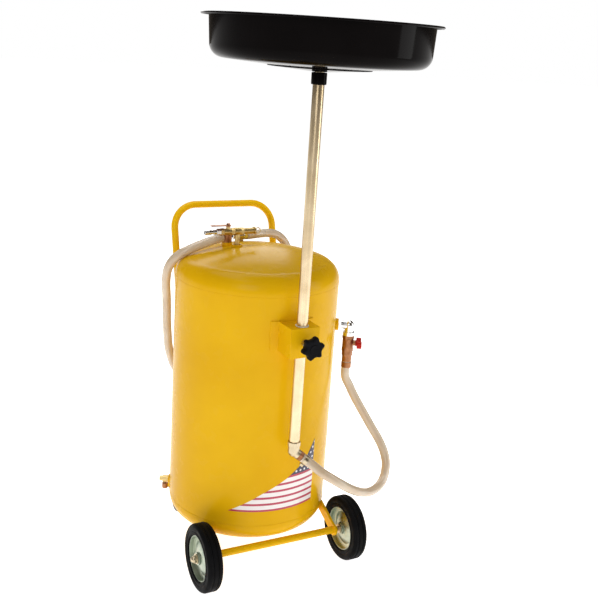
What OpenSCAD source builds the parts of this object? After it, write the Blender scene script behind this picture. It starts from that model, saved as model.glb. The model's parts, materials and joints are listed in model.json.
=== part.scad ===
// Wheeled waste-oil drainer: a drain pan on a height-adjustable mast, clamped to a pressure
// tank that rolls on two wheels and two swivel casters.
// Millimetres, +Z up, front towards -Y. The origin is on the floor, at the centre of the footprint.

/* [Tank] */
// Outside diameter of the tank
tank_d = 400; // [396:1:404]
// Height of the lower tangent line, where the shell meets the lower head
tank_low = 132; // [131:1:134]
// Height of the upper tangent line, where the shell meets the upper head
tank_high = 715; // [712:1:718]
// Outer radius of the heads' knuckles
knuckle_r = 45; // [44:1:46]
// Outer radius of the heads' crowns
crown_r = 560; // [550:1:570]
// Thickness of the tank's steel
shell_t = 3; // [2:0.5:4]

/* [Pan and mast] */
// Diameter of the pan over its rim
rim_d = 499; // [480:1:520]
// Height of the pan's rim
rim_z = 1317; // [1315:1:1319]
// Width of the pan's flat rim
rim_w = 16; // [12:1:18]
// Thickness of the pan's steel
pan_t = 2; // [1.5:0.5:2.5]
// Distance from the tank's axis to the mast's axis
mast_gap = 243; // [242:1:244]
// Wall thickness of the mast's tube
mast_wall = 2; // [1.5:0.5:3]

/* [Wheels] */
// Diameter of the front wheels
wheel_d = 163; // [160:1:166]
// Width of the front tyres
tyre_w = 38; // [36:1:40]
// Distance between the middles of the front wheels
track = 388; // [386:1:390]
// Distance of the front axle ahead of the tank's axis
axle_ahead = 191; // [190:1:192]
// Diameter of the caster wheels
caster_d = 70; // [68:1:70]

/* [Handle] */
// Diameter of the handle's tube
handle_d = 18; // [17:0.5:19]
// Width of the handle between its tubes' axes
handle_w = 276; // [270:1:280]
// Height of the handle's top bar
handle_z = 846; // [842:1:850]

/* [Hidden] */
$fn = 96;
fit = 0.08;              // radial running clearance of shafts in bores
gap = 0.4;               // space between parts that only pass each other
tank_r = tank_d / 2;
handle_back = 232;       // the top bar's distance behind the tank's axis
// The tank's axis is behind the origin, so that the footprint is centred on the origin
tank_y = (mast_gap + rim_d / 2 - handle_back - handle_d / 2) / 2;

// Mast, clamp and hose end
mast_r = 12.5;
mast_bottom = 358;
mast_top = 1196;
sleeve_r = 15.5;
bush_r = 13.6;
clamp_low = 587;
clamp_high = 657;
clamp_z = (clamp_low + clamp_high) / 2;
plate_front = 262;       // the bracket's front face, from the tank's axis
plate_t = 3;
bracket_half = 36;
flange_reach = 54;
knob_front = 310;
knob_t = 20;
screw_r = 5;
elbow_z = 350;
elbow_turn = -30;        // the hose leaves this way round the mast's axis
elbow_drop = -35;        // and this far below level
coupling_low = 1186;
coupling_high = 1211;

// Pan
corner_r = 28;
corner_z = 1257;
wall_lean = 3;
floor_fall = 4.5;
body_top_r = rim_d / 2 - rim_w;
corner_x = body_top_r - corner_r * cos(wall_lean)
    - (rim_z - pan_t - corner_z + corner_r * sin(wall_lean)) * tan(wall_lean);
spigot_r = 10;
plate_r = 110;

// Wheels
wheel_r = wheel_d / 2;
rim_r = 54.5;
hub_r = 15;
hub_half = 17;
axle_r = 6;
tube_end = 168;
strut_x = 157;
strut_t = 6;

// Casters
caster_r = caster_d / 2;
caster_x = 118;
caster_y = 160;
caster_trail = 20;
caster_plate_z = 83;
caster_az = atan2(caster_y, caster_x);
caster_rho = norm([caster_x, caster_y]);
caster_half = 11;
fork_t = 3;
pin_r = 4;

// Hoses: outer radius, bore, and the radius of the stems inside them
hose_r = 11;
hose_bore = 8;
stem_r = 7.5;

// Ports: bearing round the tank and height, or place on the upper head
inlet_az = -28.5;
inlet_z = 600;
inlet_rho = 234;
valve_z = 554;
cock_az = 150;
cock_z = 143;
cock_rho = 215;
air_xy = [-48, 26];
air_z = 818;
dip_xy = [-62, 56];
tail_z = 801;            // the discharge hose leaves the dip tube at this height,
tail_turn = 188;         // this way round, and this far below level
tail_drop = -12;

// Route of the drain hose, from the mast's barb to the inlet valve's barb
hose_turn = [cos(elbow_drop) * cos(elbow_turn), cos(elbow_drop) * sin(elbow_turn), sin(elbow_drop)];
hose_start = [0, -mast_gap, elbow_z] + 26 * hose_turn;
inlet_at = [inlet_rho * cos(inlet_az), inlet_rho * sin(inlet_az)];
drain_route = concat([hose_start, hose_start + 28 * hose_turn],
    [[59, -283, 302], [81, -292, 287], [105, -296, 271], [133, -292, 252], [164, -284, 234],
    [198, -270, 219], [231, -254, 213], [259, -238, 218], [279, -222, 233], [290, -206, 256],
    [290, -190, 281], [282, -174, 307], [269, -160, 333], [256, -146, 360], [243, -134, 386],
    [230, -124, 412], [218, -117, 438]],
    [[inlet_at[0], inlet_at[1], 466], [inlet_at[0], inlet_at[1], 505.5]]);

// Route of the discharge hose, from the dip tube's tail round the back of the tank to the spout
tail_dir = [cos(tail_drop) * cos(tail_turn), cos(tail_drop) * sin(tail_turn), sin(tail_drop)];
tail_start = [dip_xy[0], dip_xy[1], tail_z] + 14 * tail_dir;
discharge_route = concat([tail_start, tail_start + 28 * tail_dir],
    [[-130, 50, 784], [-157, 53, 773], [-179, 59, 761], [-195, 68, 744], [-203, 79, 722],
    [-203, 91, 697], [-199, 103, 670], [-193, 114, 640], [-189, 121, 606], [-185, 128, 570],
    [-180, 135, 534], [-173, 144, 498], [-161, 156, 462], [-144, 171, 429], [-120, 188, 400],
    [-90, 204, 378], [-54, 215, 364], [-16, 220, 358], [24, 219, 359], [62, 213, 367],
    [98, 200, 382], [128, 182, 406], [150, 165, 438], [164, 153, 474], [172, 146, 514],
    [176, 143, 556], [177, 143, 600], [175, 145, 640], [172, 148, 676], [166, 151, 710],
    [154, 151, 741], [134, 145, 766], [109, 135, 781], [82, 123, 788], [56, 113, 790],
    [34, 107, 790], [12, 105, 789]]);

// ---------- helpers ----------

module at_tank() { translate([0, tank_y, 0]) children(); }

// Points on an arc, from angle a0 to a1
function arc(c, r, a0, a1, n) =
    [for (i = [0:n]) let (a = a0 + (a1 - a0) * i / n) [c[0] + r * cos(a), c[1] + r * sin(a)]];

function unit(v) = v / norm(v);
function flip(v) = [for (i = [len(v) - 1:-1:0]) v[i]];

// Half outline of the tank, s millimetres inside its outer surface
function tank_outline(s) = let (r = tank_r - s, k = knuckle_r - s, c = crown_r - s,
    drop = sqrt(pow(c - k, 2) - pow(r - k, 2)), a = atan2(drop, r - k))
    concat(arc([0, tank_low + drop], c, -90, -a, 10), arc([r - k, tank_low], k, -a, 0, 10),
        arc([r - k, tank_high], k, 0, a, 10), arc([0, tank_high - drop], c, a, 90, 10));

module tank_solid(s = 0) { rotate_extrude() polygon(tank_outline(s)); }

// Turns local +Z to point outwards at a bearing round the tank, at a height and distance
module outward(az, z, rho) { rotate([0, 0, az]) translate([rho, 0, z]) rotate([0, 90, 0]) children(); }

// Turns local +Z along +X
module along_x(x = 0) { translate([x, 0, 0]) rotate([0, 90, 0]) children(); }

// Turns local +Z along a direction given by a bearing and a rise
module towards(az, rise) { rotate([0, 90 - rise, az]) children(); }

module tube(r, bore, h) {
    difference() {
        cylinder(r = r, h = h);
        translate([0, 0, -1]) cylinder(r = bore, h = h + 2);
    }
}

// A hose of round section along a route, swept without twist
module hose(route) {
    n = len(route);
    sides = 12;
    t = [for (i = [0:n - 1]) unit(route[min(i + 1, n - 1)] - route[max(i - 1, 0)])];
    start = unit(cross(t[0], abs(t[0][2]) < 0.9 ? [0, 0, 1] : [0, 1, 0]));
    u = [for (i = 0, v = start; i < n; i = i + 1, v = i < n ? unit(v - (v * t[i]) * t[i]) : v) v];
    function ring(i, r) = [for (j = [0:sides - 1])
        route[i] + r * (cos(j * 360 / sides) * u[i] + sin(j * 360 / sides) * cross(t[i], u[i]))];
    points = [for (r = [hose_r, hose_bore]) for (i = [0:n - 1]) each ring(i, r)];
    wall = n * sides;
    side = [for (i = [0:n - 2]) for (j = [0:sides - 1]) let (a = i * sides + j,
        b = i * sides + (j + 1) % sides) each [[a, a + sides, b], [b, a + sides, b + sides],
        [wall + a, wall + b, wall + a + sides], [wall + b, wall + b + sides, wall + a + sides]]];
    ends = [for (j = [0:sides - 1]) let (k = (j + 1) % sides, a = (n - 1) * sides) each [
        [j, k, wall + j], [k, wall + k, wall + j],
        [a + j, a + wall + j, a + k], [a + k, a + wall + j, a + wall + k]]];
    polyhedron(points, concat(side, ends), convexity = 10);
}

// ---------- tank and frame ----------

module tank_shell() {
    color("gold") at_tank() difference() {
        tank_solid();
        tank_solid(shell_t);
        outward(inlet_az, inlet_z, tank_r - 10) cylinder(r = 9, h = 20);
        outward(cock_az, cock_z, tank_r - 10) cylinder(r = 6, h = 20);
        for (p = [air_xy, dip_xy]) translate([p[0], p[1], 760]) cylinder(r = 8.1, h = 40);
    }
}

module tank_bosses() {
    color("gold") at_tank() difference() {
        union() {
            outward(inlet_az, inlet_z, tank_r - 10) cylinder(r = 15, h = 17);
            outward(cock_az, cock_z, tank_r - 20) cylinder(r = 12, h = 26);
            for (p = [air_xy, dip_xy]) translate([p[0], p[1], 765]) cylinder(r = 13, h = 21);
        }
        tank_solid();
        outward(inlet_az, inlet_z, tank_r - 12) cylinder(r = 9, h = 22);
        outward(cock_az, cock_z, tank_r - 22) cylinder(r = 6, h = 32);
        for (p = [air_xy, dip_xy]) translate([p[0], p[1], 760]) cylinder(r = 8.1, h = 40);
    }
}

handle_lean = 15;
handle_bend = 60;
leg_len = 265;
handle_bore = handle_d / 2 - 2;

// Places children in the leaning plane of the handle, with the top bar at z = 0
module at_handle() { translate([0, handle_back, handle_z]) rotate([-handle_lean, 0, 0]) children(); }

module handle_leg(side, r) {
    translate([side * handle_w / 2, 0, -leg_len]) cylinder(r = r, h = leg_len - handle_bend);
}

module handle_form(r) {
    flat = handle_w / 2 - handle_bend;
    along_x(-flat) cylinder(r = r, h = 2 * flat);
    for (side = [-1, 1]) {
        handle_leg(side, r);
        translate([side * flat, 0, -handle_bend]) rotate([90, 0, 0]) rotate([0, 0, side > 0 ? 0 : 90])
            rotate_extrude(angle = 90) translate([handle_bend, 0]) circle(r);
    }
}

module rear_handle() {
    color("gold") at_tank() at_handle() difference() {
        handle_form(handle_d / 2);
        handle_form(handle_bore);
        for (side = [-1, 1]) translate([side * handle_w / 2, 0, -leg_len - 1]) cylinder(r = handle_bore, h = 2);
    }
}

// Plates that join the handle's legs to the tank
module handle_gussets() {
    leg_az = atan2(171, handle_w / 2);
    color("gold") at_tank() difference() {
        for (side = [0, 1]) mirror([side, 0, 0]) rotate([0, 0, leg_az])
            translate([tank_r - 4, -4, 598]) cube([34, 8, 64]);
        tank_solid();
        at_handle() for (side = [-1, 1]) translate([side * handle_w / 2, 0, -leg_len - 1])
            cylinder(r = handle_d / 2, h = leg_len);
        // what would stand out behind the legs
        at_handle() for (side = [-1, 1]) translate([side * handle_w / 2 - 30, 0, -leg_len - 20])
            cube([60, 40, leg_len]);
    }
}

module at_axle() { translate([0, -axle_ahead, wheel_r]) children(); }

module axle_struts() {
    color("gold") at_tank() difference() {
        for (x = [strut_x, -strut_x - strut_t]) translate([x, -axle_ahead, wheel_r]) rotate([90, 0, 90])
            linear_extrude(strut_t) {
                circle(15);
                rotate(24) translate([0, -13]) square([86, 26]);
            }
        tank_solid();
        at_axle() along_x(-tube_end) cylinder(r = 9, h = 2 * tube_end);
    }
}

module axle_tube() {
    color("gold") at_tank() at_axle() along_x(-tube_end) tube(9, axle_r, 2 * tube_end);
}

axle_half = track / 2 + 25;

module axle_rod() {
    color("silver") at_tank() at_axle() along_x(-axle_half) cylinder(r = axle_r, h = 2 * axle_half);
}

// Washers each side of both wheels, and the dome nuts
module axle_fasteners() {
    color("silver") at_tank() at_axle() for (side = [0, 1]) mirror([side, 0, 0]) {
        along_x(track / 2 - hub_half - gap - 2.5) tube(12, axle_r, 2.5);
        along_x(track / 2 + hub_half + gap) tube(12, axle_r, 2.5);
        difference() {
            union() {
                along_x(track / 2 + hub_half + gap + 2.5) cylinder(r = 10, h = 5, $fn = 6);
                along_x(track / 2 + hub_half + gap + 7.5) sphere(r = 7.5);
            }
            along_x(0) cylinder(r = axle_r, h = axle_half);
        }
    }
}

// Front wheels: side is -1 on the left and 1 on the right
module at_wheel(side) { translate([side * track / 2, -axle_ahead, wheel_r]) rotate([0, 90, 0]) children(); }

module tyre(side) {
    half = tyre_w / 2;
    color("dimgray") at_tank() at_wheel(side) rotate_extrude() difference() {
        union() {
            translate([rim_r, -half + 4]) square([wheel_r - rim_r - 8, tyre_w - 8]);
            for (z = [-half + 10, half - 10]) translate([wheel_r - 10, z]) circle(10);
            translate([wheel_r - 10, -half + 10]) square([10, tyre_w - 20]);
            translate([rim_r + 3, -half]) square([wheel_r - rim_r - 13, tyre_w]);
        }
        translate([0, -half - 1]) square([rim_r, tyre_w + 2]);
    }
}

// Pressed disc: a flange against the tyre, a dished web and a raised centre
module wheel_rim(side) {
    color("silver") at_tank() at_wheel(side) rotate_extrude()
        polygon([[rim_r - 2, -15], [rim_r, -15], [rim_r, 15], [rim_r - 2, 15], [rim_r - 2, 5],
            [42, 2.5], [32, 7.5], [24, 11], [hub_r, 12.5], [hub_r, -12.5], [24, -11], [32, -7.5],
            [42, -2.5], [rim_r - 2, -5]]);
}

module wheel_hub(side) {
    color("silver") at_tank() at_wheel(side) translate([0, 0, -hub_half]) tube(hub_r, axle_r + fit, 2 * hub_half);
}

module left_tyre() { tyre(-1); }
module left_rim() { wheel_rim(-1); }
module left_hub() { wheel_hub(-1); }
module right_tyre() { tyre(1); }
module right_rim() { wheel_rim(1); }
module right_hub() { wheel_hub(1); }

// ---------- casters ----------

module each_side() { for (side = [0, 1]) mirror([side, 0, 0]) children(); }

module bolt_places() { for (x = [-20, 20], y = [-20, 20]) translate([x, y, 0]) children(); }

// Places children at a caster's pivot, turned square to the tank's wall
module at_pivot() { rotate([0, 0, caster_az]) translate([caster_rho, 0, 0]) children(); }

module caster_brackets() {
    color("gold") at_tank() difference() {
        each_side() at_pivot() difference() {
            union() {
                translate([-30, -29, caster_plate_z + 3]) cube([60, 58, 5]);
                translate([0, -29, caster_plate_z + 3]) cube([6, 58, 88]);
                for (y = [-29, 24]) translate([0, y, caster_plate_z + 3]) rotate([90, 0, 0])
                    translate([0, 0, -5]) linear_extrude(5) polygon([[0, 0], [30, 0], [30, 8], [6, 50], [0, 50]]);
            }
            bolt_places() translate([0, 0, caster_plate_z]) cylinder(r = 3, h = 20);
        }
        tank_solid();
    }
}

module caster_plates() {
    color("silver") at_tank() each_side() at_pivot() difference() {
        translate([-28, -28, caster_plate_z]) cube([56, 56, 3]);
        translate([0, 0, caster_plate_z - 1]) cylinder(r = 5 + fit, h = 5);
        bolt_places() translate([0, 0, caster_plate_z - 1]) cylinder(r = 3, h = 5);
    }
}

module caster_bolts() {
    color("silver") at_tank() each_side() at_pivot() bolt_places() {
        translate([0, 0, caster_plate_z]) cylinder(r = 3, h = 8);
        translate([0, 0, caster_plate_z - 3.5]) cylinder(r = 5.5, h = 3.5, $fn = 6);
    }
}

module caster_fork(side) {
    crown_z = 74;
    inner = caster_half + 1;
    color("silver") at_tank() translate([side * caster_x, caster_y, 0]) difference() {
        union() {
            translate([0, 0, crown_z]) cylinder(r = 21, h = 3);
            translate([0, 0, crown_z + 3]) tube(17, 12, caster_plate_z - crown_z - 3 - gap);
            translate([0, 0, crown_z]) cylinder(r = 5, h = caster_plate_z - crown_z + 2.5);
            for (x = [-inner - fork_t, inner]) translate([x, 0, 0]) rotate([90, 0, 90])
                linear_extrude(fork_t) {
                    polygon([[-14, crown_z + 3], [14, crown_z + 3], [caster_trail + 8, caster_r - 1],
                        [caster_trail - 8, caster_r - 1]]);
                    translate([caster_trail, caster_r]) circle(9);
                }
        }
        translate([0, caster_trail, caster_r]) along_x(-30) cylinder(r = pin_r, h = 60);
    }
}

module caster_pin(side) {
    reach = caster_half + 1 + fork_t;
    color("silver") at_tank() translate([side * caster_x, caster_y + caster_trail, caster_r]) {
        along_x(-reach) cylinder(r = pin_r, h = 2 * reach);
        along_x(-reach - 4) cylinder(r = 7, h = 4, $fn = 6);
        along_x(reach) cylinder(r = 7, h = 5, $fn = 6);
    }
}

module caster_wheel(side) {
    color("dimgray") at_tank() translate([side * caster_x, caster_y + caster_trail, caster_r])
        rotate([0, 90, 0]) rotate_extrude() difference() {
            union() {
                translate([pin_r + fit, -caster_half]) square([caster_r - 4 - pin_r - fit, 2 * caster_half]);
                translate([pin_r + fit, -caster_half + 4]) square([caster_r - pin_r - fit, 2 * caster_half - 8]);
                for (z = [-caster_half + 4, caster_half - 4]) translate([caster_r - 4, z]) circle(4);
            }
            for (z = [-caster_half - 1, caster_half - 3]) translate([12, z]) square([12, 4]);
        }
}

module left_caster_fork() { caster_fork(-1); }
module left_caster_pin() { caster_pin(-1); }
module left_caster_wheel() { caster_wheel(-1); }
module right_caster_fork() { caster_fork(1); }
module right_caster_pin() { caster_pin(1); }
module right_caster_wheel() { caster_wheel(1); }

// ---------- mast clamp ----------

module at_mast() { translate([0, -mast_gap, 0]) children(); }

// Turns local +Z to point forwards from the mast at the clamp's height
module clamp_axis(y) { translate([0, -y, clamp_z]) rotate([90, 0, 0]) children(); }

// Folded bracket: a box of plate with flanges on the tank, and webs round the sleeve
module mast_bracket() {
    half = bracket_half;
    deep = plate_front - tank_r + 10;
    high = clamp_high - clamp_low;
    color("gold") at_tank() difference() {
        translate([0, 0, clamp_low]) {
            translate([-half, -plate_front, 0]) cube([2 * half, plate_t, high]);
            for (x = [-half, half - plate_t]) translate([x, -plate_front, 0]) cube([plate_t, deep, high]);
            for (z = [0, high - plate_t]) translate([-half, -plate_front, z])
                cube([2 * half, deep, plate_t]);
            intersection() {
                cylinder(r = tank_r + plate_t, h = high);
                for (x = [-flange_reach, half - plate_t]) translate([x, -tank_r - 20, 0])
                    cube([flange_reach - half + plate_t, 60, high]);
            }
        }
        tank_solid();
        at_mast() translate([0, 0, clamp_low - 1]) cylinder(r = sleeve_r, h = high + 2);
        clamp_axis(mast_gap) cylinder(r = screw_r + 0.2, h = 40);
    }
}

module mast_sleeve() {
    color("gold") at_tank() difference() {
        at_mast() translate([0, 0, clamp_low]) tube(sleeve_r, bush_r, clamp_high - clamp_low);
        clamp_axis(mast_gap) cylinder(r = screw_r + 0.2, h = 20);
    }
}

module guide_bushes() {
    color("ivory") at_tank() at_mast() {
        translate([0, 0, clamp_low]) tube(bush_r, mast_r + fit, 12);
        translate([0, 0, clamp_low - 2]) tube(sleeve_r, mast_r + fit, 2);
        translate([0, 0, clamp_high - 12]) tube(bush_r, mast_r + fit, 12);
        translate([0, 0, clamp_high]) tube(sleeve_r, mast_r + fit, 2);
    }
}

module clamp_nut() {
    color("silver") at_tank() clamp_axis(plate_front) difference() {
        cylinder(r = 10, h = 9, $fn = 6);
        translate([0, 0, -1]) cylinder(r = screw_r + fit, h = 11);
    }
}

// Pad that the screw presses on the mast
module clamp_shoe() {
    color("orange") at_tank() difference() {
        clamp_axis(mast_gap) cylinder(r = screw_r, h = 17);
        at_mast() translate([0, 0, clamp_low]) cylinder(r = mast_r + fit, h = clamp_high - clamp_low);
    }
}

module clamp_screw() {
    color("silver") at_tank() clamp_axis(mast_gap + 17 + gap)
        cylinder(r = screw_r, h = knob_front - 6 - mast_gap - 17 - gap);
}

// Star knob with six lobes
module clamp_knob() {
    color("black") at_tank() difference() {
        union() {
            clamp_axis(knob_front - knob_t) linear_extrude(knob_t) {
                circle(21);
                for (i = [0:5]) rotate(15 + 60 * i) translate([22.5, 0]) circle(5.5);
            }
            clamp_axis(knob_front - knob_t - 8) cylinder(r = 11, h = 9);
        }
        clamp_axis(knob_front - knob_t - 9) cylinder(r = screw_r, h = knob_t + 3);
    }
}

// ---------- mast and pan ----------

module mast_tube() {
    color("silver") at_tank() at_mast() difference() {
        translate([0, 0, mast_bottom]) tube(mast_r, mast_r - mast_wall, mast_top - mast_bottom);
        translate([0, 0, 1023]) rotate([90, 0, 0]) cylinder(r = 2.5, h = 30, center = true);
    }
}

module mast_pin() {
    color("gray") at_tank() at_mast() translate([0, 0, 1023]) rotate([90, 0, 0])
        cylinder(r = 2.5, h = 2 * mast_r - 1, center = true);
}

module mast_coupling() {
    color("black") at_tank() at_mast() difference() {
        rotate_extrude() polygon([[0, coupling_low], [15, coupling_low], [16.5, coupling_low + 1.5],
            [16.5, coupling_high - 1.5], [15.5, coupling_high], [0, coupling_high]]);
        translate([0, 0, coupling_low - 1]) cylinder(r = mast_r, h = mast_top - coupling_low + 1);
        translate([0, 0, mast_top - 1]) cylinder(r = spigot_r + fit, h = coupling_high - mast_top + 2);
    }
}

// Height of the pan's outer floor at radius r, for a surface s inside the outer one
function floor_z(r, s) = let (c = [corner_x, corner_z], a = -90 + floor_fall, k = corner_r - s)
    c[1] + k * sin(a) - (c[0] + k * cos(a) - r) * tan(floor_fall);

// The pan's side from its drain hole to under the rim, s inside the outer surface
function pan_side(s) = let (c = [corner_x, corner_z], k = corner_r - s,
    top = rim_z - pan_t + s, e = [c[0] + k * cos(wall_lean), c[1] - k * sin(wall_lean)])
    concat([[spigot_r, floor_z(spigot_r, s)]], arc(c, k, -90 + floor_fall, -wall_lean, 10),
        [[e[0] + (top - e[1]) * tan(wall_lean), top]]);

module drain_pan() {
    color("black") at_tank() at_mast() rotate_extrude() {
        polygon(concat(pan_side(0), [[rim_d / 2 - 2, rim_z - pan_t], [rim_d / 2 - 2, rim_z]],
            flip(pan_side(pan_t))));
        translate([rim_d / 2 - 2.5, rim_z - 2.5]) circle(2.5);
    }
}

// Disc that stiffens the middle of the pan from below
module pan_plate() {
    color("black") at_tank() at_mast() rotate_extrude()
        polygon([[spigot_r, floor_z(spigot_r, 0) - 2], [plate_r, floor_z(plate_r, 0) - 2],
            [plate_r, floor_z(plate_r, 0)], [spigot_r, floor_z(spigot_r, 0)]]);
}

// Threaded outlet of the pan, which turns in the mast's coupling
module pan_spigot() {
    flange_z = floor_z(16, pan_t) + 0.1;
    color("silver") at_tank() at_mast() {
        difference() {
            union() {
                translate([0, 0, mast_top + 2]) cylinder(r = spigot_r, h = flange_z + 3 - mast_top - 2);
                translate([0, 0, flange_z]) cylinder(r = 16, h = 3);
            }
            translate([0, 0, mast_top + 1]) cylinder(r = 7.5, h = 40);
        }
    }
}

module pan_strainer() {
    strainer_r = 60;
    color("silver") at_tank() at_mast() translate([0, 0, floor_z(strainer_r, pan_t) + 1.5]) difference() {
        cylinder(r = strainer_r, h = 1.2);
        for (k = [1:3]) for (i = [0:6 * k - 1]) rotate(i * 60 / k) translate([k * 16, 0, -1])
            cylinder(r = 3, h = 4);
    }
}

// Elbow under the mast, which turns the oil into the hose
module at_elbow() { at_mast() translate([0, 0, elbow_z]) children(); }

module mast_elbow() {
    color("darkkhaki") at_tank() difference() {
        union() {
            at_elbow() sphere(r = 13.5);
            at_elbow() cylinder(r = 13.5, h = 14);
            at_elbow() translate([0, 0, 14]) cylinder(r = 15, h = 11);
            at_elbow() towards(elbow_turn, elbow_drop) cylinder(r = 11.5, h = 16);
        }
        at_mast() translate([0, 0, mast_bottom]) cylinder(r = mast_r, h = 30);
        at_elbow() cylinder(r = stem_r, h = 20);
        at_elbow() sphere(r = stem_r);
        at_elbow() towards(elbow_turn, elbow_drop) cylinder(r = stem_r, h = 20);
    }
}

// A hose stem with three ridges, along local +Z
module barb_stem(h, bore) {
    difference() {
        union() {
            cylinder(r = stem_r - 0.7, h = h);
            for (i = [0:2]) translate([0, 0, h - 8 * (i + 1) + 2]) cylinder(r1 = stem_r, r2 = stem_r - 0.9, h = 5);
        }
        translate([0, 0, -1]) cylinder(r = bore, h = h + 2);
    }
}

module mast_barb() {
    color("peru") at_tank() at_elbow() towards(elbow_turn, elbow_drop) {
        translate([0, 0, 16]) difference() {
            cylinder(r = 12.5, h = 9, $fn = 6);
            translate([0, 0, -1]) cylinder(r = 5, h = 11);
        }
        translate([0, 0, 25]) barb_stem(27, 5);
    }
}

// Worm-drive hose clamp: a band with a screw housing, along local +Z
module hose_clamp(w) {
    tube(hose_r + 0.9, hose_r + fit, w);
    translate([hose_r + 0.5, -6, 1]) difference() {
        cube([6, 12, w - 2]);
        translate([-hose_r - 0.5, 6, -2]) cylinder(r = hose_r + 0.9, h = w + 4);
    }
}

module mast_clamp() {
    color("silver") at_tank() at_elbow() towards(elbow_turn, elbow_drop) translate([0, 0, 31])
        hose_clamp(10);
}

module drain_hose() { color("wheat") at_tank() hose(drain_route); }

// ---------- inlet valve ----------

module at_inlet(z = 0) { rotate([0, 0, inlet_az]) translate([inlet_rho, 0, z]) children(); }

module inlet_elbow() {
    face = tank_r + 7;
    color("silver") at_tank() difference() {
        union() {
            outward(inlet_az, inlet_z, face) cylinder(r = 13, h = 6, $fn = 6);
            outward(inlet_az, inlet_z, face + 6) cylinder(r = 10.5, h = inlet_rho - face - 6);
            at_inlet(inlet_z) sphere(r = 12);
            at_inlet(inlet_z - 20) cylinder(r = 11.5, h = 20);
            at_inlet(inlet_z - 26) cylinder(r = 14.5, h = 9);
        }
        outward(inlet_az, inlet_z, face - 1) cylinder(r = stem_r, h = inlet_rho - face + 1);
        at_inlet(inlet_z) sphere(r = stem_r);
        at_inlet(inlet_z - 27) cylinder(r = stem_r, h = 27);
    }
}

ball_r = 10.5;

module inlet_valve_body() {
    color("sienna") at_tank() difference() {
        union() {
            at_inlet(valve_z + 12) cylinder(r = 15, h = 8, $fn = 6);
            at_inlet(valve_z - 13) cylinder(r = 14, h = 25);
            at_inlet(valve_z - 21) cylinder(r = 14.5, h = 8, $fn = 6);
            outward(inlet_az, valve_z, inlet_rho) cylinder(r = 7, h = 18);
        }
        at_inlet(valve_z - 22) cylinder(r = stem_r, h = 44);
        at_inlet(valve_z) sphere(r = ball_r + 0.3);
        outward(inlet_az, valve_z, inlet_rho) cylinder(r = 3 + fit, h = 20);
    }
}

// The bored ball; the valve is shown shut
module inlet_ball() {
    color("silver") at_tank() difference() {
        at_inlet(valve_z) sphere(r = ball_r);
        rotate([0, 0, inlet_az]) translate([inlet_rho, 0, valve_z]) rotate([90, 0, 0])
            cylinder(r = 7, h = 30, center = true);
    }
}

// Butterfly handle and its stem
module inlet_handle() {
    color("crimson") at_tank() {
        outward(inlet_az, valve_z, inlet_rho + ball_r) cylinder(r = 3, h = 8);
        outward(inlet_az, valve_z, inlet_rho + 18.4) {
            cylinder(r = 7.5, h = 9);
            difference() {
                translate([0, 0, 3]) intersection() {
                    translate([-10, -24, 0]) cube([20, 48, 12]);
                    union() {
                        for (s = [-1, 1]) translate([0, s * 15, 0]) cylinder(r = 9.5, h = 12);
                        translate([-5, -15, 0]) cube([10, 30, 5]);
                    }
                }
                translate([0, 0, 9]) cylinder(r = 7.5, h = 10);
            }
        }
    }
}

module inlet_barb() {
    color("peru") at_tank() at_inlet() {
        translate([0, 0, 506]) difference() {
            union() {
                cylinder(r = 12, h = 15);
                translate([0, 0, 15]) cylinder(r = 13.5, h = valve_z - 21 - 521, $fn = 6);
            }
            translate([0, 0, -1]) cylinder(r = 5, h = 40);
        }
        translate([0, 0, 506]) mirror([0, 0, 1]) barb_stem(30, 5);
    }
}

module inlet_clamp() { color("peru") at_tank() at_inlet(490) tube(hose_r + 1.5, hose_r + fit, 14); }

// ---------- air inlet, relief valve and discharge line ----------

module at_air(x) { translate([x, air_xy[1], air_z]) rotate([0, 90, 0]) children(); }

module air_tee() {
    color("goldenrod") at_tank() difference() {
        union() {
            translate([air_xy[0], air_xy[1], 786]) cylinder(r = 6, h = air_z - 786);
            at_air(air_xy[0] - 9) cylinder(r = 9, h = 17);
        }
        translate([air_xy[0], air_xy[1], 785]) cylinder(r = 4, h = air_z - 785);
        at_air(air_xy[0] - 10) cylinder(r = 4, h = 20);
    }
}

module air_valve_body() {
    color("goldenrod") at_tank() difference() {
        union() {
            at_air(-93) cylinder(r = 9, h = 8, $fn = 6);
            at_air(-85) cylinder(r = 8, h = 20);
            at_air(-65) cylinder(r = 9, h = 8, $fn = 6);
            translate([-73, air_xy[1], air_z]) cylinder(r = 5, h = 12);
        }
        at_air(-94) cylinder(r = 4, h = 38);
        translate([-73, air_xy[1], air_z]) cylinder(r = 2 + fit, h = 13);
    }
}

// Lever, stem and nut of the air valve; the lever lies along the valve when it is open
module air_lever() {
    color("rosybrown") at_tank() translate([-73, air_xy[1], air_z]) {
        translate([0, 0, 4]) cylinder(r = 2, h = 12);
        translate([0, 0, 12.4]) cylinder(r = 5.5, h = 2);
        translate([-44, -5, 14.4]) cube([44, 10, 2]);
        translate([0, 0, 14.4]) cylinder(r = 7, h = 2);
        translate([0, 0, 16.4]) cylinder(r = 4.6, h = 4, $fn = 6);
    }
}

// Quick-connect plug for the air line
module air_plug() {
    color("silver") at_tank() difference() {
        union() {
            at_air(-103) cylinder(r = 8.5, h = 10, $fn = 6);
            at_air(-111) cylinder(r = 6, h = 8);
            at_air(-117) cylinder(r = 4.6, h = 6);
            at_air(-134) cylinder(r = 6, h = 17);
        }
        at_air(-135) cylinder(r = 3.5, h = 43);
    }
}

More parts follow.
